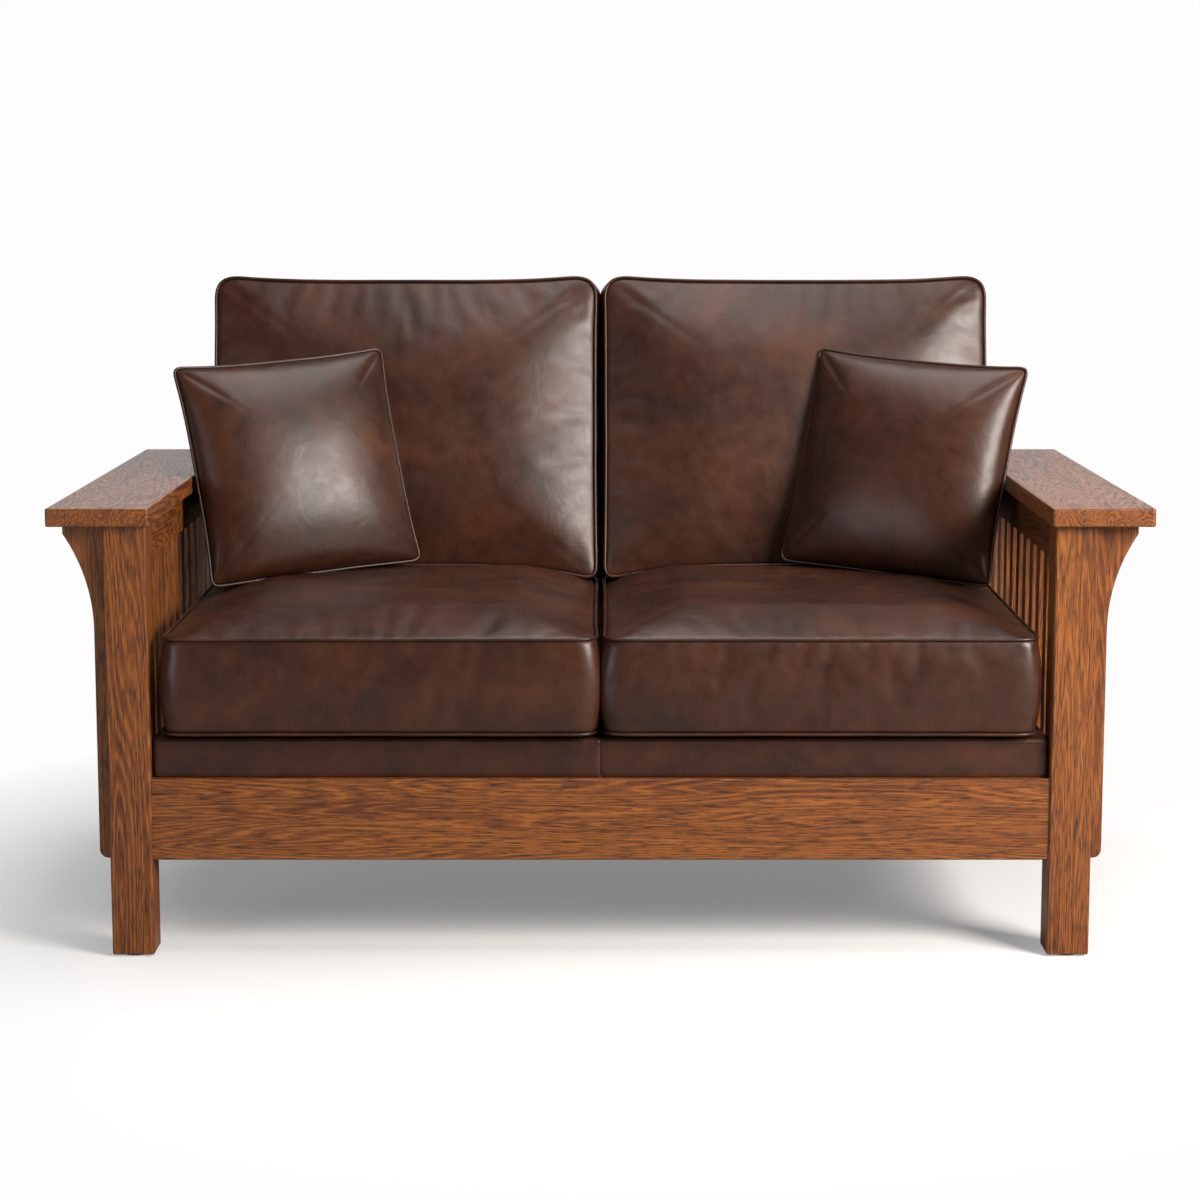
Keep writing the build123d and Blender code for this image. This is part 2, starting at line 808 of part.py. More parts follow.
def stuffed(pad, plane):
    """Adds the whole pad: its boxing, a little fuller at the middle, and both crowns."""
    middle_level = pad.first_rise + pad.boxing / 2
    last_level = pad.first_rise + pad.boxing
    loft(
        sections=[
            seam(pad, plane, pad.first_rise, 0),
            seam(pad, plane, middle_level, pad.bulge),
            seam(pad, plane, last_level, 0),
        ]
    )
    crown(pad, plane, pad.first_rise, pad.first_run, -pad.first_rise)
    crown(pad, plane, pad.first_rise + pad.boxing, pad.second_run, pad.second_rise)


def thinner(pad, skin):
    """The pad that lies one skin inside another; its plane moves in by the skin as well."""
    return replace(
        pad,
        half_width=pad.half_width - skin,
        low=pad.low + skin - skin * pad.slope,
        high=pad.high - skin,
        first_rise=pad.first_rise - skin,
        second_rise=pad.second_rise - skin,
    )


def make_cushion(pad, plane, names, seam_levels):
    """Makes a cushion's core, its hollow cover and the welts sewn into its seams."""
    cover_name, core_name, welt_name = names
    core_skin = leather_thickness + core_clearance
    with BuildPart() as core:
        stuffed(thinner(pad, core_skin), plane.offset(core_skin))
    finish(core, core_name)
    with BuildPart() as hollow:
        stuffed(thinner(pad, leather_thickness), plane.offset(leather_thickness))
    with BuildPart() as cover:
        stuffed(pad, plane)
        add(hollow.part, mode=Mode.SUBTRACT)
    finish(cover, cover_name)
    routes = [seam(pad, plane, level, welt_radius - welt_bite).outer_wire() for level in seam_levels]
    with BuildPart() as welts:
        for route in routes:
            with BuildSketch(Plane(origin=route @ 0, z_dir=route % 0)):
                Circle(welt_radius)
            sweep(path=route)
    finish(welts, welt_name)


seat_pad = Pad(
    half_width=seat_width / 2,
    low=seat_front,
    high=slat_face_y(seat_bottom) - soft_clearance - 2 * welt_radius,
    corner=seat_corner,
    draw=seat_draw,
    boxing=seat_boxing,
    bulge=seat_bulge,
    first_run=seat_foot_run,
    first_rise=seat_foot,
    second_run=seat_crown_run,
    second_rise=seat_crown,
    soften_share=cushion_soften_share,
)
back_pad = Pad(
    half_width=back_width / 2,
    low=0,
    high=back_high,
    corner=back_corner,
    draw=back_draw,
    boxing=back_boxing,
    bulge=back_bulge,
    first_run=back_rear_run,
    first_rise=back_rear_crown,
    second_run=back_crown_run,
    second_rise=back_crown,
    soften_share=cushion_soften_share,
    slope=tan(lean),
)
pillow_pad = Pad(
    half_width=pillow_side / 2,
    low=-pillow_side / 2,
    high=pillow_side / 2,
    corner=pillow_corner,
    draw=pillow_draw,
    boxing=pillow_edge,
    bulge=0,
    first_run=pillow_run,
    first_rise=pillow_swell,
    second_run=pillow_run,
    second_rise=pillow_swell,
    soften_share=pillow_soften_share,
)


def pillow_plane(side):
    """The plane of a pillow's rear top: turned inwards, leaning back and a little out of level."""
    yaw = radians(pillow_yaw)
    tilt = radians(pillow_lean)
    twist = radians(pillow_twist)
    normal = Vector(-side * sin(yaw) * cos(tilt), -cos(yaw) * cos(tilt), sin(tilt))
    level = Vector(cos(yaw), -side * sin(yaw), 0)
    upward = normal.cross(level)
    across = level * cos(twist) - upward * (side * sin(twist))
    middle = Vector(side * pillow_off_middle, seat_front + pillow_reach, seat_top + pillow_rise)
    return Plane(origin=middle - normal * (pillow_swell + pillow_edge / 2), x_dir=across, z_dir=normal)


for side_name, side in sides:
    back_rest = Plane(
        origin=(side * back_middle_x, back_plateau_y, back_bottom), x_dir=(1, 0, 0), z_dir=back_normal
    )
    make_cushion(
        seat_pad,
        Plane.XY.offset(seat_bottom).shift_origin((side * seat_middle_x, 0, seat_bottom)),
        ("seat_cover_" + side_name, "seat_core_" + side_name, "seat_welts_" + side_name),
        (seat_foot, seat_foot + seat_boxing),
    )
    make_cushion(
        back_pad,
        back_rest,
        ("back_cover_" + side_name, "back_core_" + side_name, "back_welts_" + side_name),
        (back_rear_crown, back_depth),
    )
    make_cushion(
        pillow_pad,
        pillow_plane(side),
        ("pillow_cover_" + side_name, "pillow_insert_" + side_name, "pillow_welt_" + side_name),
        (pillow_swell + pillow_edge / 2,),
    )
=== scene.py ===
import json
import math

import bmesh
import bpy
from mathutils import Matrix, Vector, noise


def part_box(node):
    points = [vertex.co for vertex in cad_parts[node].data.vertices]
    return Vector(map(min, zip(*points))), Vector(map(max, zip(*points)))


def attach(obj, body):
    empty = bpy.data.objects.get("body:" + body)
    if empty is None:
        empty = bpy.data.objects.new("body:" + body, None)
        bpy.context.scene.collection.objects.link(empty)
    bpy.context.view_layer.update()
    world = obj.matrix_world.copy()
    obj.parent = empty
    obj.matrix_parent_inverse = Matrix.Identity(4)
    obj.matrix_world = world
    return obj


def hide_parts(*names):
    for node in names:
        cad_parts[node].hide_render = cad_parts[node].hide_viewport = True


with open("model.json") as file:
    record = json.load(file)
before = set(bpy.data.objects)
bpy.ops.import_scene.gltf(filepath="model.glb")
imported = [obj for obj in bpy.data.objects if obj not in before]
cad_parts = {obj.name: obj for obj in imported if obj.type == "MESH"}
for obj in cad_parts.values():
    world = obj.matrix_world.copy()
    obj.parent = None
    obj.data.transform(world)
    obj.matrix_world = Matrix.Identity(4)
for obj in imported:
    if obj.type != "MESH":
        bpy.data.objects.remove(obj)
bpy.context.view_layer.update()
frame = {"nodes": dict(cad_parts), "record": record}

MM = 0.001
SIDES = (("left", -1), ("right", 1))

# Camera: fitted to the corners of the arms, legs and rails
IMAGE_SIZE = 1200
FOCAL_PIXELS = 2816
SENSOR_WIDTH = 36
EYE_DISTANCE = 3.9726
EYE_HEIGHT = 1.1187
PITCH_DEGREES = 8.437
VIEW_CENTRE_PIXEL = 600.5


def linear(hex_colour):
    """A colour written as sRGB hex, as the linear values that shaders take."""
    values = [int(hex_colour[i : i + 2], 16) / 255 for i in (1, 3, 5)]
    curve = [v / 12.92 if v <= 0.04045 else ((v + 0.055) / 1.055) ** 2.4 for v in values]
    return (*curve, 1.0)


def add_node(tree, kind, settings=(), inputs=(), values=()):
    """One node with its settings, the outputs linked into its inputs, and its fixed input values."""
    made = tree.nodes.new(kind)
    for name, value in dict(settings).items():
        setattr(made, name, value)
    for name, source in dict(inputs).items():
        tree.links.new(source, made.inputs[name])
    for name, value in dict(values).items():
        made.inputs[name].default_value = value
    return made


def new_material(name):
    """An empty node material and its tree."""
    material = bpy.data.materials.new(name)
    material.use_nodes = True
    material.node_tree.nodes.clear()
    return material, material.node_tree


def ramp(tree, source, stops):
    """A colour ramp with stops of (place, hex colour)."""
    made = add_node(tree, "ShaderNodeValToRGB", inputs={"Fac": source})
    elements = made.color_ramp.elements
    while len(elements) < len(stops):
        elements.new(0.5)
    for element, (place, colour) in zip(elements, stops):
        element.position = place
        element.color = linear(colour)
    return made.outputs["Color"]


def blend_colours(tree, factor, first, second):
    """Two colours mixed by a factor, each a socket or a fixed colour."""
    mixer = add_node(tree, "ShaderNodeMix", {"data_type": "RGBA", "blend_type": "MIX"}, {"Factor": factor})
    for slot, colour in ((6, first), (7, second)):
        if isinstance(colour, tuple):
            mixer.inputs[slot].default_value = colour
        else:
            tree.links.new(colour, mixer.inputs[slot])
    return mixer.outputs[2]


def math_node(tree, operation, first, second):
    """A sum, product or the like of two sockets or numbers."""
    made = add_node(tree, "ShaderNodeMath", {"operation": operation})
    for index, value in enumerate((first, second)):
        if isinstance(value, (int, float)):
            made.inputs[index].default_value = value
        else:
            tree.links.new(value, made.inputs[index])
    return made.outputs[0]


def map_range(tree, source, low, high, to_low, to_high):
    """A value moved from one range to another, and held inside it."""
    made = add_node(
        tree,
        "ShaderNodeMapRange",
        inputs={"Value": source},
        values={"From Min": low, "From Max": high, "To Min": to_low, "To Max": to_high},
    )
    return made.outputs["Result"]


OAK_BASE = "#773d15"
OAK_DARK = "#2b1208"
OAK_LIGHT = "#8f511d"
OAK_PALE = "#a5642a"
OAK_IOR = 1.5


def stained_oak(name, along, shift):
    """Plain-sawn white oak, stained and wiped, under satin lacquer.

    Sawing it plain gives broken cathedral lines, and the wiped stain leaves short dark pores.
    """
    growth_size = 62 * MM
    growth_stretch = 0.06
    ring_turns = 215.0
    ring_floor = 0.34
    ring_depth = 0.95
    fleck_depth = 0.72
    fleck_size = 1.7 * MM
    fleck_stretch = 0.065
    shade_size = 34 * MM
    pore_depth = 0.35 * MM
    material, tree = new_material(name)
    place = add_node(tree, "ShaderNodeTexCoord").outputs["Object"]

    def grained(stretch, size, detail, roughness=0.5, distortion=0.0):
        scale = [1.0, 1.0, 1.0]
        scale[along] = stretch
        moved = add_node(
            tree,
            "ShaderNodeMapping",
            inputs={"Vector": place},
            values={"Scale": scale, "Location": (shift, shift * 1.7, shift * 0.6)},
        ).outputs["Vector"]
        return add_node(
            tree,
            "ShaderNodeTexNoise",
            inputs={"Vector": moved},
            values={"Scale": 1 / size, "Detail": detail, "Roughness": roughness, "Distortion": distortion},
        ).outputs["Fac"]

    growth = grained(growth_stretch, growth_size, 2.0, 0.4, 0.1)
    rings = math_node(tree, "SINE", math_node(tree, "MULTIPLY", growth, ring_turns), 0.0)
    ring_line = map_range(tree, rings, 0.2, 0.95, 0.0, 1.0)
    pale_line = map_range(tree, rings, -0.95, -0.3, 0.55, 0.0)
    fleck = map_range(tree, grained(fleck_stretch, fleck_size, 2.0, 0.6), 0.49, 0.62, 0.0, 1.0)
    shade = grained(growth_stretch, shade_size, 4.0, 0.6)
    ring_break = map_range(tree, fleck, 0.0, 1.0, ring_floor, 1.0)
    broken_ring = math_node(tree, "MULTIPLY", ring_line, ring_break)
    stray = math_node(tree, "MULTIPLY", fleck, fleck_depth)
    darkness = math_node(tree, "MAXIMUM", math_node(tree, "MULTIPLY", broken_ring, ring_depth), stray)
    tone = ramp(tree, shade, ((0.32, OAK_BASE), (0.68, OAK_LIGHT)))
    deep = map_range(tree, shade, 0.30, 0.46, 0.35, 0.0)
    tone = blend_colours(tree, deep, tone, linear(OAK_DARK))
    tone = blend_colours(tree, pale_line, tone, linear(OAK_PALE))
    tone = blend_colours(tree, darkness, tone, linear(OAK_DARK))
    bump = add_node(
        tree,
        "ShaderNodeBump",
        inputs={"Height": math_node(tree, "SUBTRACT", 1.0, darkness)},
        values={"Strength": 0.3, "Distance": pore_depth},
    )
    shader = add_node(
        tree,
        "ShaderNodeBsdfPrincipled",
        inputs={
            "Base Color": tone,
            "Roughness": map_range(tree, darkness, 0.0, 1.0, 0.36, 0.5),
            "Normal": bump.outputs["Normal"],
        },
        values={"IOR": OAK_IOR, "Coat Weight": 0.1, "Coat Roughness": 0.28},
    )
    add_node(tree, "ShaderNodeOutputMaterial", inputs={"Surface": shader.outputs["BSDF"]})
    return material


def waxed_leather(name, shift, base="#391b0e", warm="#4d2812", dark="#251209"):
    """Pull-up cowhide, drum dyed and waxed: cloudy colour over a fine pebbled grain, with a soft shine."""
    cloud_size = 120 * MM
    mottle_size = 26 * MM
    pebble_size = 2.2 * MM
    crease_size = 38 * MM
    material, tree = new_material(name)
    place = add_node(tree, "ShaderNodeTexCoord").outputs["Object"]
    moved = add_node(
        tree, "ShaderNodeMapping", inputs={"Vector": place}, values={"Location": (shift, shift * 0.7, -shift)}
    ).outputs["Vector"]

    def clouds(size, detail, roughness, distortion=0.0):
        return add_node(
            tree,
            "ShaderNodeTexNoise",
            inputs={"Vector": moved},
            values={"Scale": 1 / size, "Detail": detail, "Roughness": roughness, "Distortion": distortion},
        ).outputs["Fac"]

    large = clouds(cloud_size, 5.0, 0.58, 0.6)
    small = clouds(mottle_size, 4.0, 0.6, 0.3)
    tone = ramp(tree, large, ((0.28, dark), (0.50, base), (0.76, warm)))
    tone = blend_colours(tree, map_range(tree, small, 0.45, 0.72, 0.0, 0.24), tone, linear(warm))
    tone = blend_colours(tree, map_range(tree, small, 0.28, 0.42, 0.22, 0.0), tone, linear(dark))
    pebbles = add_node(
        tree,
        "ShaderNodeTexVoronoi",
        {"feature": "DISTANCE_TO_EDGE"},
        {"Vector": moved},
        {"Scale": 1 / pebble_size, "Randomness": 1.0},
    )
    cell_height = map_range(tree, pebbles.outputs["Distance"], 0.0, 0.35, 0.0, 1.0)
    creases = clouds(crease_size, 3.0, 0.5, 1.2)
    crease_height = map_range(tree, creases, 0.3, 0.7, 0.0, 1.0)
    broad = add_node(
        tree,
        "ShaderNodeBump",
        inputs={"Height": crease_height},
        values={"Strength": 0.12, "Distance": 2.0 * MM},
    )
    fine = add_node(
        tree,
        "ShaderNodeBump",
        inputs={"Height": cell_height, "Normal": broad.outputs["Normal"]},
        values={"Strength": 0.22, "Distance": 0.25 * MM},
    )
    rough = map_range(tree, small, 0.3, 0.7, 0.36, 0.47)
    shader = add_node(
        tree,
        "ShaderNodeBsdfPrincipled",
        inputs={"Base Color": tone, "Roughness": rough, "Normal": fine.outputs["Normal"]},
        values={"IOR": 1.44, "Coat Weight": 0.12, "Coat Roughness": 0.26},
    )
    add_node(tree, "ShaderNodeOutputMaterial", inputs={"Surface": shader.outputs["BSDF"]})
    return material


def plain_finish(name, first, second, size, roughness, metallic=0.0, bump_depth=0.1 * MM):
    """A finish of two close tones with a fine surface: sawn timber, cloth, foam or drawn wire."""
    material, tree = new_material(name)
    place = add_node(tree, "ShaderNodeTexCoord").outputs["Object"]
    grain = add_node(
        tree,
        "ShaderNodeTexNoise",
        inputs={"Vector": place},
        values={"Scale": 1 / size, "Detail": 3.0, "Roughness": 0.6},
    ).outputs["Fac"]
    tone = ramp(tree, grain, ((0.35, first), (0.65, second)))
    bump = add_node(
        tree, "ShaderNodeBump", inputs={"Height": grain}, values={"Strength": 0.4, "Distance": bump_depth}
    )
    shader = add_node(
        tree,
        "ShaderNodeBsdfPrincipled",
        inputs={"Base Color": tone, "Normal": bump.outputs["Normal"]},
        values={"Roughness": roughness, "Metallic": metallic},
    )
    add_node(tree, "ShaderNodeOutputMaterial", inputs={"Surface": shader.outputs["BSDF"]})
    return material


ALONG_X, ALONG_Y, ALONG_Z = 0, 1, 2


def dress_frame():
    """Gives every rigid node of the frame its finish, with the grain along each board."""
    oak = {
        (axis, number): stained_oak(f"stained_oak_{'xyz'[axis]}_{number}", axis, 0.37 + 1.31 * number)
        for axis in (ALONG_X, ALONG_Y, ALONG_Z)
        for number in (0, 1)
    }
    timber = plain_finish("sawn_stained_poplar", "#4a2f1c", "#5f3f27", 14 * MM, 0.75)
    wire = plain_finish("drawn_spring_steel", "#6f7072", "#8b8c8e", 5 * MM, 0.35, 1.0)
    felt = plain_finish("brown_nylon_glide", "#2c211c", "#3a2c25", 3 * MM, 0.7)
    lengthwise = {"arm": ALONG_Y, "side_top_rail": ALONG_Y, "side_bottom_rail": ALONG_Y}
    for name, node in frame["nodes"].items():
        slot = next(s["material_slot"] for s in frame["record"]["subparts"] if s["node"] == name)
        number = 1 if name.endswith("right") else 0
        if slot == "oak":
            axis = ALONG_Z
            for word, way in lengthwise.items():
                if name.startswith(word):
                    axis = way
            if name.endswith("_rail") and not name.startswith("side"):
                axis = ALONG_X
            material = oak[(axis, number)]
        elif slot == "frame_timber":
            material = timber
        elif slot == "steel":
            material = wire
        elif slot == "glide":
            material = felt
        else:
            continue
        node.data.materials.clear()
        node.data.materials.append(material)


# Sewn leather pads

PANEL_STEPS = 64
BOXING_STEPS = 14


class PadShape:
    """A sewn pad in its own frame: x across, y up its face, z out of its face, in metres."""

    def __init__(self, **sizes):
        self.slope = 0.0
        self.bulge = 0.0
        self.low_draw = sizes["draw"]
        self.high_draw = sizes["draw"]
        self.draw_power = 2
        self.droop = 0.0
        self.inner_side = 0
        self.inner_seam = 0.0
        self.inner_bulge = 0.0
        self.low_corner = sizes["corner"]
        self.knife_edge = False
        self.dome = 0.0
        self.flat_side = 0
        for name, value in sizes.items():
            setattr(self, name, value)

    def ring(self, s, t, z, grow=0.0):
        """The point of the pad's outline, or of a smaller one inside it, for a place on a square."""
        size = max(abs(s), abs(t))
        low = self.low - z * self.slope - grow
        high = self.high + grow
        middle = (low + high) / 2
        if size == 0:
            return 0.0, middle
        half_width = (self.half_width + grow) * size
        half_height = (high - low) / 2 * size
        corner = min((self.low_corner if t < 0 else self.corner) * size, half_width, half_height)
        x = s * (self.half_width + grow)
        y = t * (high - low) / 2
        held_x = max(-(half_width - corner), min(half_width - corner, x))
        held_y = max(-(half_height - corner), min(half_height - corner, y))
        dx = x - held_x
        dy = y - held_y
        if dx and dy:
            reach = math.hypot(dx, dy)
            x = held_x + corner * dx / reach
            y = held_y + corner * dy / reach
        share_x = x / half_width
        share_y = y / half_height
        x -= self.draw * size * share_x * (1 - abs(share_y) ** self.draw_power)
        x += self.inner_side * self.inner_seam * max(0.0, share_x * self.inner_side) ** 2 * size
        upright_draw = self.high_draw if y > 0 else self.low_draw
        y -= upright_draw * size * share_y * (1 - abs(share_x) ** self.draw_power)
        if share_y < 0:
            y -= self.droop * size * share_x**4 * share_y**2
        return x, middle + y

    def crown(self, s, t, z_seam):
        """How far a crown has risen at a place on the square, from 0 at the seam to 1."""
        half_height = (self.high - self.low + z_seam * self.slope) / 2
        rises = []
        for share, half in ((s, self.half_width), (t, half_height)):
            inset = min(1.0, (1 - abs(share)) * half / self.crown_run)
            rises.append(1 - (1 - inset) ** self.crown_power)
        first, second = rises
        if self.knife_edge:
            return (first * second) ** self.crown_fullness
        return first * second / max(1e-9, first + second - first * second)

    def height(self, s, t, z_seam, rise):
        """The height of the crown at a place on the square, with the dome that the filling gives it."""
        dome = self.dome * (1 - s * s) * (1 - t * t)
        if self.flat_side:
            away = max(0.0, s * self.flat_side)
            dome *= 1 - min(1.0, away * 1.6)
        return z_seam + (rise + (dome if rise > 0 else 0.0)) * self.crown(s, t, z_seam)


def pad_mesh(name, shape, steps=PANEL_STEPS, levels=BOXING_STEPS):
    """The pad's mesh, with the numbers of its seam vertices: a front panel, boxing and a rear panel."""
    build = bmesh.new()
    edge_places = []
    for i in range(steps):
        edge_places.append((-1 + 2 * i / steps, -1.0))
    for i in range(steps):
        edge_places.append((1.0, -1 + 2 * i / steps))
    for i in range(steps):
        edge_places.append((1 - 2 * i / steps, 1.0))
    for i in range(steps):
        edge_places.append((-1.0, 1 - 2 * i / steps))

    def loop(z, share):
        belly = 4 * share * (1 - share)
        ring = []
        for s, t in edge_places:
            x, y = shape.ring(s, t, z, shape.bulge * belly)
            x += shape.inner_side * shape.inner_bulge * belly * max(0.0, s * shape.inner_side) ** 6
            ring.append(build.verts.new((x, y, z)))
        return ring

    loops = [loop(shape.front_seam, 0.0)]
    if shape.front_seam > shape.rear_seam:
        for level in range(1, levels):
            share = level / levels
            z = shape.front_seam + (shape.rear_seam - shape.front_seam) * share
            loops.append(loop(z, share))
        loops.append(loop(shape.rear_seam, 0.0))

    def panel(seam_loop, seam_z, rise, outward):
        number = {}
        for index, (s, t) in enumerate(edge_places):
            number[(round((s + 1) * steps / 2), round((t + 1) * steps / 2))] = seam_loop[index]
        for i in range(1, steps):
            for j in range(1, steps):
                s = -1 + 2 * i / steps
                t = -1 + 2 * j / steps
                z = shape.height(s, t, seam_z, rise)
                number[(i, j)] = build.verts.new((*shape.ring(s, t, z), z))
        for i in range(steps):
            for j in range(steps):
                corners = [number[(i, j)], number[(i + 1, j)], number[(i + 1, j + 1)], number[(i, j + 1)]]
                build.faces.new(corners if outward else corners[::-1])

    panel(loops[0], shape.front_seam, shape.front_rise, True)
    for upper, lower in zip(loops, loops[1:]):
        for index in range(len(upper)):
            following = (index + 1) % len(upper)
            build.faces.new((upper[following], upper[index], lower[index], lower[following]))
    panel(loops[-1], shape.rear_seam, -shape.rear_rise, False)
    build.verts.index_update()
    seams = [[v.index for v in loops[0]]]
    if len(loops) > 1:
        seams.append([v.index for v in loops[-1]])
    mesh = bpy.data.meshes.new(name)
    build.to_mesh(mesh)
    build.free()
    return mesh, seams


def near(value, middle, reach):
    """A smooth 1 at the middle that falls to 0 away from it."""
    return math.exp(-(((value - middle) / reach) ** 2))


CLOTH_FRAMES = 12
LEATHER_STIFFNESS = 0.8
START_WOBBLE = 0.5 * MM
WELT_RADIUS = 2.3 * MM


def settle_leather(piece, seams, seed, pressure, grow, slack_grow, slack, cap):
    """Blows the pad up a little as cloth, so its leather gathers at the seams where it is slack."""
    rest = [v.co.copy() for v in piece.data.vertices]
    for vertex in piece.data.vertices:
        wobble = noise.noise(vertex.co * 14 + Vector((seed, seed * 2.0, seed * 3.0)))
        vertex.co += vertex.normal * wobble * START_WOBBLE
    group = piece.vertex_groups.new(name="seams")
    for seam in seams:
        group.add(seam, 1.0, "REPLACE")
    loose = piece.vertex_groups.new(name="slack")
    for index, co in enumerate(rest):
        loose.add([index], min(1.0, slack(co)), "REPLACE")
    cloth = piece.modifiers.new("leather", "CLOTH")
    settings = cloth.settings
    settings.quality = 4
    settings.mass = 0.4
    settings.tension_stiffness = 12
    settings.compression_stiffness = 12
    settings.shear_stiffness = 6
    settings.bending_stiffness = LEATHER_STIFFNESS
    settings.tension_damping = 5
    settings.compression_damping = 5
    settings.air_damping = 2
    settings.use_pressure = True
    settings.uniform_pressure_force = pressure
    settings.shrink_min = -grow
    settings.shrink_max = -slack_grow
    settings.vertex_group_shrink = "slack"
    settings.effector_weights.gravity = 0
    settings.vertex_group_mass = "seams"
    cloth.point_cache.frame_start = 1
    cloth.point_cache.frame_end = CLOTH_FRAMES
    scene = bpy.context.scene
    for step in range(1, CLOTH_FRAMES + 1):
        scene.frame_set(step)
    solved = piece.evaluated_get(bpy.context.evaluated_depsgraph_get()).to_mesh()
    moved = [v.co.copy() for v in solved.vertices]
    piece.evaluated_get(bpy.context.evaluated_depsgraph_get()).to_mesh_clear()
    piece.modifiers.remove(cloth)
    piece.vertex_groups.clear()
    scene.frame_set(1)
    for vertex, old, new in zip(piece.data.vertices, rest, moved):
        shift = new - old
        if shift.length > cap:
            shift *= cap / shift.length
        vertex.co = old + shift


def welt_tree(material):
    """A node tree that runs a round welt along a loop of edges."""
    tree = bpy.data.node_groups.new("sewn_welt", "GeometryNodeTree")
    tree.interface.new_socket("Geometry", in_out="INPUT", socket_type="NodeSocketGeometry")
    tree.interface.new_socket("Welt Radius", in_out="INPUT", socket_type="NodeSocketFloat")
    tree.interface.new_socket("Welt Sides", in_out="INPUT", socket_type="NodeSocketInt")
    tree.interface.new_socket("Geometry", in_out="OUTPUT", socket_type="NodeSocketGeometry")
    source = add_node(tree, "NodeGroupInput")
    route = add_node(tree, "GeometryNodeMeshToCurve", inputs={"Mesh": source.outputs["Geometry"]})
    section = add_node(
        tree,
        "GeometryNodeCurvePrimitiveCircle",
        inputs={"Radius": source.outputs["Welt Radius"], "Resolution": source.outputs["Welt Sides"]},
    )
    tube = add_node(
        tree,
        "GeometryNodeCurveToMesh",
        inputs={"Curve": route.outputs["Curve"], "Profile Curve": section.outputs["Curve"]},
    )
    smooth = add_node(tree, "GeometryNodeSetShadeSmooth", inputs={"Geometry": tube.outputs["Mesh"]})
    single = add_node(tree, "GeometryNodeRealizeInstances", inputs={"Geometry": smooth.outputs[0]})
    dressed = add_node(
        tree,
        "GeometryNodeSetMaterial",
        inputs={"Geometry": single.outputs["Geometry"]},
        values={"Material": material},
    )
    add_node(tree, "NodeGroupOutput", inputs={"Geometry": dressed.outputs["Geometry"]})
    return tree


def run_tree(piece, tree, values):
    """Runs a node tree on a piece with its named inputs, and leaves a plain mesh."""
    modifier = piece.modifiers.new("maker", "NODES")
    modifier.node_group = tree
    for item in tree.interface.items_tree:
        if item.item_type == "SOCKET" and item.in_out == "INPUT" and item.name in values:
            modifier[item.identifier] = values[item.name]
    made = bpy.data.meshes.new_from_object(piece.evaluated_get(bpy.context.evaluated_depsgraph_get()))
    piece.modifiers.remove(modifier)
    piece.data = made
    return piece


def new_piece(name, mesh):
    """An object for a mesh, in the scene."""
    piece = bpy.data.objects.new(name, mesh)
    bpy.context.scene.collection.objects.link(piece)
    return piece


def make_welts(name, loops, radius, tree):
    """Welts along the loops of points."""
    mesh = bpy.data.meshes.new(name)
    points = []
    edges = []
    for loop in loops:
        start = len(points)
        points += loop
        edges += [(start + i, start + (i + 1) % len(loop)) for i in range(len(loop))]
    mesh.from_pydata(points, edges, [])
    piece = new_piece(name, mesh)
    return run_tree(piece, tree, {"Welt Radius": radius, "Welt Sides": 12})


def smooth_loop(points, rounds=2):
    """A loop of points with its jitter taken out."""
    for _ in range(rounds):
        count = len(points)
        points = [
            points[i] * 0.5 + (points[i - 1] + points[(i + 1) % count]) * 0.25 for i in range(count)
        ]
    return points


def make_cushion(title, shape, matrix, material, tree, body, nodes, welt_node, seed, slack,
                 pressure=1.6, grow=0.004, slack_grow=0.03, cap=10 * MM, guard=None,
                 welt_out=1.2 * MM):
    """One leather cushion: its puffed cover and its welts, both riding on the cushion's body."""
    mesh, seams = pad_mesh(title, shape)
    piece = new_piece(title, mesh)
    settle_leather(piece, seams, seed, pressure, grow, slack_grow, slack, cap)
    piece.data.transform(matrix)
    if guard:
        for vertex in piece.data.vertices:
            vertex.co = guard(vertex.co)
    piece.data.update()
    loops = []
    for seam in seams:
        normals = [piece.data.vertices[i].normal for i in seam]
        points = [piece.data.vertices[i].co + n * welt_out for i, n in zip(seam, normals)]
        loops.append(smooth_loop(points))
    for polygon in piece.data.polygons:
        polygon.use_smooth = True
    piece.data.materials.append(material)
    finer = piece.modifiers.new("finer", "SUBSURF")
    finer.levels = 1
    finer.render_levels = 1
    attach(piece, body)
    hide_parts(*nodes)
    welts = make_welts(title + "_welts", loops, WELT_RADIUS, tree)
    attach(welts, body)
    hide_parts(welt_node)
    return piece


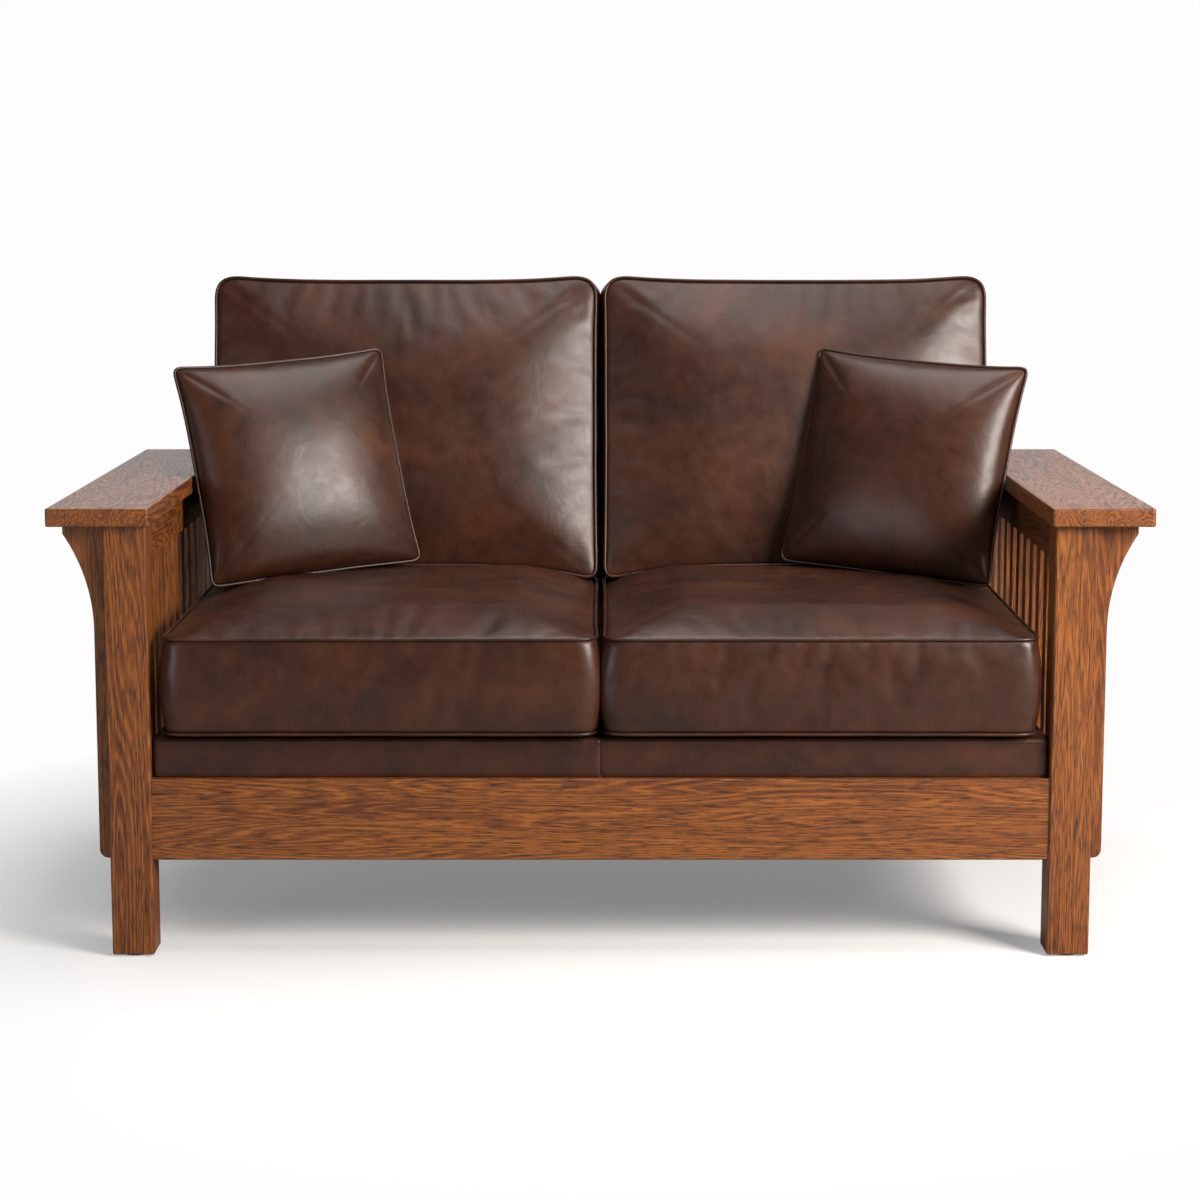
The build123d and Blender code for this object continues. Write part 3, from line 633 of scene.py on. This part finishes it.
def seat_cushions(tree):
    """The two seat cushions, lying on the deck."""
    for number, (side_name, side) in enumerate(SIDES):
        low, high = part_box("seat_cover_" + side_name)
        welt_low, welt_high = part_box("seat_welts_" + side_name)
        middle = Vector(((low[0] + high[0]) / 2, (low[1] + high[1]) / 2, low[2]))
        rear_rise = welt_low[2] + 3 * MM - low[2]
        front_seam = welt_high[2] - 3 * MM - low[2]
        shape = PadShape(
            half_width=(high[0] - low[0]) / 2 - 3 * MM,
            low=-(high[1] - low[1]) / 2 + 3 * MM,
            high=(high[1] - low[1]) / 2 - 3 * MM,
            corner=30 * MM,
            draw=3 * MM,
            draw_power=4,
            rear_seam=rear_rise,
            front_seam=front_seam,
            rear_rise=rear_rise - 1 * MM,
            front_rise=high[2] - low[2] - front_seam - 2 * MM,
            crown_run=165 * MM,
            crown_power=2.6,
            dome=3 * MM,
            bulge=6 * MM,
            inner_side=-side,
            inner_seam=2 * MM,
            inner_bulge=3 * MM,
        )
        floor = low[2]
        roof = high[2]

        def guard(point, floor=floor, roof=roof):
            return Vector((point.x, point.y, max(floor, min(roof + 2 * MM, point.z))))

        def slack(co, side=side, low=shape.low, seam=front_seam):
            front = near(co.y, low, 70 * MM) * near(co.z, seam - 15 * MM, 60 * MM)
            if side > 0:
                return front * (0.15 + near(co.x, 95 * MM, 70 * MM) + 0.5 * near(co.x, -150 * MM, 60 * MM))
            right_pucker = 0.35 * near(co.x, 170 * MM, 60 * MM)
            left_pucker = 0.3 * near(co.x, -120 * MM, 60 * MM)
            return front * (0.15 + right_pucker + left_pucker)

        make_cushion(
            "seat_cushion_" + side_name,
            shape,
            Matrix.Translation(middle),
            waxed_leather("waxed_leather_seat_" + side_name, 1.3 + 2.1 * number),
            tree,
            "seat_cushion_" + side_name,
            ("seat_cover_" + side_name, "seat_core_" + side_name),
            "seat_welts_" + side_name,
            seed=3.0 + number,
            slack=slack,
            guard=guard,
        )


BACK_LEAN = math.radians(15)


def back_cushions(tree):
    """The two back cushions, leaning on the back frame."""
    upward = Vector((0, math.sin(BACK_LEAN), math.cos(BACK_LEAN)))
    outward = Vector((0, -math.cos(BACK_LEAN), math.sin(BACK_LEAN)))
    rear_crown, boxing, front_crown = 12 * MM, 135 * MM, 22 * MM
    for number, (side_name, side) in enumerate(SIDES):
        low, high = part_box("back_cover_" + side_name)
        node = frame["nodes"]["back_cover_" + side_name]
        places = [v.co for v in node.data.vertices]
        rear = min(p.dot(outward) for p in places)
        top = max(p.dot(upward) for p in places)
        origin = outward * rear
        bottom_z = low[2]
        base = (bottom_z - origin.z) / upward.z
        origin = origin + upward * base + Vector(((low[0] + high[0]) / 2, 0, 0))
        shape = PadShape(
            half_width=(high[0] - low[0]) / 2 - 1 * MM,
            low=0.0,
            high=top - base,
            corner=34 * MM,
            low_corner=18 * MM,
            draw=3 * MM,
            low_draw=6 * MM,
            high_draw=11 * MM,
            draw_power=4,
            droop=20 * MM,
            rear_seam=rear_crown,
            front_seam=rear_crown + boxing - 4 * MM,
            rear_rise=rear_crown - 1 * MM,
            front_rise=front_crown + 3 * MM,
            crown_run=170 * MM,
            crown_power=2.6,
            dome=12 * MM,
            flat_side=side,
            bulge=6 * MM,
            inner_side=-side,
            inner_seam=3 * MM,
            inner_bulge=3 * MM,
            slope=math.tan(BACK_LEAN),
        )
        matrix = Matrix(
            (
                (1, upward.x, outward.x, origin.x),
                (0, upward.y, outward.y, origin.y),
                (0, upward.z, outward.z, origin.z),
                (0, 0, 0, 1),
            )
        )

        def guard(point, floor=bottom_z - 16 * MM, plane=rear, way=outward):
            behind = plane - point.dot(way)
            if behind > 0:
                point = point + way * behind
            return Vector((point.x, point.y, max(floor, point.z)))

        def slack(co, side=side, high=shape.high, half=shape.half_width):
            top = near(co.y, high, 60 * MM)
            inner_corner = near(co.x, -side * half, 90 * MM) * near(co.y, 40 * MM, 80 * MM)
            return 0.3 * top + 0.5 * inner_corner

        make_cushion(
            "back_cushion_" + side_name,
            shape,
            matrix,
            waxed_leather("waxed_leather_back_" + side_name, 7.7 + 1.9 * number),
            tree,
            "back_cushion_" + side_name,
            ("back_cover_" + side_name, "back_core_" + side_name),
            "back_welts_" + side_name,
            seed=11.0 + number,
            slack=slack,
            pressure=0.8,
            grow=0.002,
            cap=5 * MM,
            guard=guard,
        )


def pillows(tree):
    """The two loose pillows, standing in the corners against the back cushions."""
    yaw = math.radians(25.2)
    tilt = math.radians(17.8)
    twist = math.radians(3.8)
    for number, (side_name, side) in enumerate(SIDES):
        node = frame["nodes"]["pillow_cover_" + side_name]
        places = [v.co for v in node.data.vertices]
        outward = Vector(
            (-side * math.sin(yaw) * math.cos(tilt), -math.cos(yaw) * math.cos(tilt), math.sin(tilt))
        )
        level = Vector((math.cos(yaw), -side * math.sin(yaw), 0))
        upright = outward.cross(level)
        across = level * math.cos(twist) - upright * (side * math.sin(twist))
        upward = outward.cross(across)

        def middle_along(way):
            spans = [p.dot(way) for p in places]
            return (min(spans) + max(spans)) / 2

        origin = across * middle_along(across) + upward * middle_along(upward)
        origin = origin + outward * middle_along(outward)
        matrix = Matrix.Identity(4)
        for row in range(3):
            matrix[row][0] = across[row]
            matrix[row][1] = upward[row]
            matrix[row][2] = outward[row]
            matrix[row][3] = origin[row]
        shape = PadShape(
            half_width=177 * MM,
            low=-177 * MM,
            high=177 * MM,
            corner=11 * MM,
            draw=7 * MM,
            low_draw=2 * MM,
            draw_power=3,
            rear_seam=0.0,
            front_seam=0.0,
            rear_rise=59 * MM,
            front_rise=60 * MM,
            crown_run=177 * MM,
            crown_power=2.3,
            crown_fullness=0.5,
            knife_edge=True,
        )

        def slack(co, side=side):
            outer_edge = near(co.x, side * 150 * MM, 55 * MM)
            if side > 0:
                return outer_edge * near(co.y, 0.0, 110 * MM)
            return 0.8 * outer_edge * near(co.y, -10 * MM, 35 * MM)

        make_cushion(
            "pillow_" + side_name,
            shape,
            matrix,
            waxed_leather("waxed_leather_pillow_" + side_name, 13.1 + 2.3 * number),
            tree,
            "pillow_" + side_name,
            ("pillow_cover_" + side_name, "pillow_insert_" + side_name),
            "pillow_welt_" + side_name,
            seed=21.0 + number,
            slack=slack,
            grow=0.001,
            slack_grow=0.13 if side > 0 else 0.07,
            pressure=1.4 if side > 0 else 0.7,
            cap=(9 if side > 0 else 3) * MM,
            welt_out=0.5 * MM,
        )


def deck_band(material):
    """The leather band over the deck's front, in two halves that dip into the seam between them."""
    columns = 160
    profile_steps = 26
    for side_name, side in SIDES:
        low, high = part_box("deck_band_" + side_name)
        seam_x = -side * 0.3 * MM
        ends = (low[0], seam_x) if side < 0 else (seam_x, high[0])
        length = ends[1] - ends[0]
        turn = 8 * MM
        flat_top = high[1] - low[1] - turn
        front = high[2] - low[2] - turn
        outer = []
        for step in range(profile_steps):
            share = step / (profile_steps - 1)
            outer.append((low[1] + 1.2 * MM - 1.2 * MM * math.sin(math.pi * share), low[2] + front * share))
        for step in range(1, 9):
            angle = math.pi / 2 * step / 8
            outer.append((low[1] + turn * (1 - math.cos(angle)), high[2] - turn * (1 - math.sin(angle))))
        for step in range(1, 9):
            outer.append((low[1] + turn + flat_top * step / 8, high[2]))
        inner = [(y + 1.6 * MM, z - 1.6 * MM if z > low[2] + front else z) for y, z in outer]
        build = bmesh.new()
        rows = []
        for column in range(columns + 1):
            x = ends[0] + length * column / columns
            away = abs(x - seam_x)
            dip = 1.4 * MM * math.exp(-away / (4 * MM))
            ripple = 0.7 * MM * noise.noise(Vector((x * 9, 0.3, side)))
            row = [
                build.verts.new((x, y + (dip + ripple + 0.7 * MM) * (1 if z < high[2] - turn else 0.3), z))
                for y, z in outer
            ]
            row += [build.verts.new((x, y + 1.4 * MM, z)) for y, z in reversed(inner)]
            rows.append(row)
        for first, second in zip(rows, rows[1:]):
            for index in range(len(first)):
                following = (index + 1) % len(first)
                build.faces.new((first[index], first[following], second[following], second[index]))
        build.faces.new(rows[0][::-1])
        build.faces.new(rows[-1])
        bmesh.ops.recalc_face_normals(build, faces=build.faces)
        mesh = bpy.data.meshes.new("deck_band_leather_" + side_name)
        build.to_mesh(mesh)
        build.free()
        for polygon in mesh.polygons:
            polygon.use_smooth = len(polygon.vertices) == 4
        mesh.materials.append(material)
        piece = new_piece("deck_band_leather_" + side_name, mesh)
        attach(piece, "frame")
        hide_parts("deck_band_" + side_name)


def soft_slab(build, span, low_z, high_z, sag, ripple):
    """Adds one thin slab with eased edges and a slight sag to a mesh under construction."""
    (x_low, y_low), (x_high, y_high) = span
    across = max(8, round((x_high - x_low) / (22 * MM)))
    along = max(6, round((y_high - y_low) / (22 * MM)))
    edge = min(1.5 * MM, (high_z - low_z) / 3)

    def layer(z, inset, flip):
        rows = []
        for i in range(across + 1):
            row = []
            for j in range(along + 1):
                s, t = i / across, j / along
                x = x_low + inset + (x_high - x_low - 2 * inset) * s
                y = y_low + inset + (y_high - y_low - 2 * inset) * t
                held = max(0.0, math.sin(math.pi * s) * math.sin(math.pi * t)) ** 0.5
                wave = abs(noise.noise(Vector((x * 12, y * 12, 1.7))))
                row.append(build.verts.new((x, y, z - held * (sag + ripple * wave))))
            rows.append(row)
        for i in range(across):
            for j in range(along):
                corners = (rows[i][j], rows[i + 1][j], rows[i + 1][j + 1], rows[i][j + 1])
                build.faces.new(corners[::-1] if flip else corners)
        front = [rows[i][0] for i in range(across)]
        right = [rows[across][j] for j in range(along)]
        rear = [rows[i][along] for i in range(across, 0, -1)]
        left = [rows[0][j] for j in range(along, 0, -1)]
        return front + right + rear + left

    upper = layer(high_z, edge, False)
    lower = layer(low_z, edge, True)
    middle = []
    for first, second in zip(upper, lower):
        point = (first.co + second.co) / 2
        if point.x < x_low + 1.5 * edge or point.x > x_high - 1.5 * edge:
            point.x = x_low if point.x < x_high - 2 * edge else x_high
        if point.y < y_low + 1.5 * edge or point.y > y_high - 1.5 * edge:
            point.y = y_low if point.y < y_high - 2 * edge else y_high
        middle.append(build.verts.new(point))
    for first, second in ((upper, middle), (middle, lower)):
        for index in range(len(first)):
            following = (index + 1) % len(first)
            build.faces.new((first[following], first[index], second[index], second[following]))


def deck_layer(name, node, spans, material, sag, ripple):
    """A layer of the seat deck in place of its CAD node, from the slabs that it is cut to."""
    low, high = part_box(node)
    build = bmesh.new()
    for span in spans:
        soft_slab(build, span, low[2], high[2], sag, ripple)
    bmesh.ops.recalc_face_normals(build, faces=build.faces)
    mesh = bpy.data.meshes.new(name)
    build.to_mesh(mesh)
    build.free()
    for polygon in mesh.polygons:
        polygon.use_smooth = True
    mesh.materials.append(material)
    piece = new_piece(name, mesh)
    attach(piece, "frame")
    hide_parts(node)
    return piece


def deck_layers():
    """The pad on the deck, the cloth over it and the thin cloth under it."""
    foam = plain_finish("cut_charcoal_foam", "#3d3933", "#4a453d", 3 * MM, 0.9, bump_depth=0.5 * MM)
    weave = plain_finish("black_cambric", "#17161a", "#242327", 1.2 * MM, 0.85, bump_depth=0.3 * MM)
    stile_low, stile_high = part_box("back_stile_right")
    clearance = 0.3 * MM

    def spans_of(node):
        low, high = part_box(node)
        if high[1] < stile_low[1]:
            return [((low[0], low[1]), (high[0], high[1]))]
        split = stile_low[1] - clearance
        inner = stile_low[0] - clearance
        return [((low[0], low[1]), (high[0], split)), ((-inner, split), (inner, high[1]))]

    pad = deck_layer("deck_foam", "deck_pad", spans_of("deck_pad"), foam, 0.0, 0.6 * MM)
    top_spans = spans_of("deck_cloth")
    low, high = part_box("dust_cloth")
    dust_spans = [((low[0], low[1]), (high[0], high[1]))]
    for name, node, spans, rests, sag in (
        ("deck_cloth_sheet", "deck_cloth", top_spans, "deck_foam", 0.0),
        ("dust_cloth_sheet", "dust_cloth", dust_spans, "deck_rail_front", 4 * MM),
    ):
        piece = deck_layer(name, node, spans, weave, sag, 0.6 * MM)
        low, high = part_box(node)
        area = sum((last[0] - first[0]) * (last[1] - first[1]) for first, last in spans)


BACKDROP_COLOUR = "#fdfdfd"
BACKDROP_LIGHT = 1.15
ROOM_LIGHT = 0.05
SHADOW_LIFT = 0.2
FLOOR_COLOUR = "#a8a8a8"
FLOOR_REACH = 12.0
SHADOW_FADE_START = 0.45
SHADOW_FADE_END = 1.45


def studio():
    """A pale floor that runs out to white, soft lamps and the photograph's camera."""
    scene = bpy.context.scene
    material, tree = new_material("pale_floor")
    white = add_node(
        tree, "ShaderNodeEmission", values={"Color": linear(BACKDROP_COLOUR), "Strength": 1.0}
    )
    rays = add_node(tree, "ShaderNodeLightPath")
    seen = rays.outputs["Is Camera Ray"]
    tone = blend_colours(tree, seen, linear(FLOOR_COLOUR), linear("#fbfbfb"))
    place = add_node(tree, "ShaderNodeTexCoord").outputs["Object"]
    distance = add_node(tree, "ShaderNodeVectorMath", {"operation": "LENGTH"}, {0: place}).outputs["Value"]
    fade = map_range(tree, distance, SHADOW_FADE_START, SHADOW_FADE_END, 0.0, 1.0)
    share = math_node(tree, "MULTIPLY", seen, math_node(tree, "MAXIMUM", fade, SHADOW_LIFT))
    shader = add_node(tree, "ShaderNodeBsdfDiffuse", inputs={"Color": tone}, values={"Roughness": 0.0})
    mixed = add_node(
        tree, "ShaderNodeMixShader", inputs={0: share, 1: shader.outputs[0], 2: white.outputs[0]}
    )
    add_node(tree, "ShaderNodeOutputMaterial", inputs={"Surface": mixed.outputs[0]})
    mesh = bpy.data.meshes.new("floor")
    reach = FLOOR_REACH
    corners = [(-reach, -reach, 0), (reach, -reach, 0), (reach, reach, 0), (-reach, reach, 0)]
    mesh.from_pydata(corners, [], [(0, 1, 2, 3)])
    mesh.materials.append(material)
    new_piece("floor", mesh)

    world = bpy.data.worlds.new("studio_light")
    scene.world = world
    world.use_nodes = True
    tree = world.node_tree
    tree.nodes.clear()
    rays = add_node(tree, "ShaderNodeLightPath")
    seen = add_node(
        tree, "ShaderNodeBackground", values={"Color": linear(BACKDROP_COLOUR), "Strength": 1.0}
    )
    way = add_node(tree, "ShaderNodeTexCoord").outputs["Generated"]
    way = add_node(tree, "ShaderNodeSeparateXYZ", inputs={"Vector": way})
    rearward = map_range(tree, way.outputs["Y"], -0.1, 0.5, 0.0, 1.0)
    low_down = map_range(tree, way.outputs["Z"], 0.22, 0.55, 1.0, 0.0)
    backdrop = math_node(tree, "MULTIPLY", rearward, low_down)
    lit = add_node(
        tree,
        "ShaderNodeBackground",
        inputs={"Strength": map_range(tree, backdrop, 0.0, 1.0, ROOM_LIGHT, BACKDROP_LIGHT)},
        values={"Color": linear("#fafbff")},
    )
    mixed = add_node(
        tree,
        "ShaderNodeMixShader",
        inputs={0: rays.outputs["Is Camera Ray"], 1: lit.outputs[0], 2: seen.outputs[0]},
    )
    add_node(tree, "ShaderNodeOutputWorld", inputs={"Surface": mixed.outputs[0]})

    def softbox(name, place, aim, width, height, power, colour="#ffffff"):
        data = bpy.data.lights.new(name, "AREA")
        data.shape = "RECTANGLE"
        data.size = width
        data.size_y = height
        data.energy = power
        data.color = linear(colour)[:3]
        lamp = bpy.data.objects.new(name, data)
        lamp.location = place
        lamp.rotation_euler = (Vector(aim) - Vector(place)).to_track_quat("-Z", "Y").to_euler()
        scene.collection.objects.link(lamp)

    softbox("key_softbox", (2.55, -2.4, 1.95), (0.0, 0.0, 0.5), 1.4, 1.5, 208, "#fff8f0")
    softbox("fill_softbox", (-2.8, -3.0, 0.85), (0.0, 0.0, 0.4), 1.6, 1.4, 27, "#f6f8ff")
    softbox("top_softbox", (0.2, -0.1, 3.2), (0.0, -0.1, 0.3), 2.6, 1.4, 52, "#ffffff")

    data = bpy.data.cameras.new("photo_camera")
    data.sensor_width = SENSOR_WIDTH
    data.lens = SENSOR_WIDTH * FOCAL_PIXELS / IMAGE_SIZE
    data.shift_x = -(VIEW_CENTRE_PIXEL - IMAGE_SIZE / 2) / IMAGE_SIZE
    camera = bpy.data.objects.new("photo_camera", data)
    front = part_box("arm_left")[0][1]
    camera.location = (0, front - EYE_DISTANCE, EYE_HEIGHT)
    camera.rotation_euler = (math.radians(90 - PITCH_DEGREES), 0, 0)
    scene.collection.objects.link(camera)
    scene.camera = camera
    scene.view_settings.view_transform = "Standard"


studio()
dress_frame()
welt_leather = waxed_leather("waxed_leather_welts", 5.1, base="#351a0f", warm="#4d2914", dark="#1d0d08")
welts = welt_tree(welt_leather)
seat_cushions(welts)
back_cushions(welts)
pillows(welts)
deck_band(waxed_leather("waxed_leather_band", 17.3))
deck_layers()
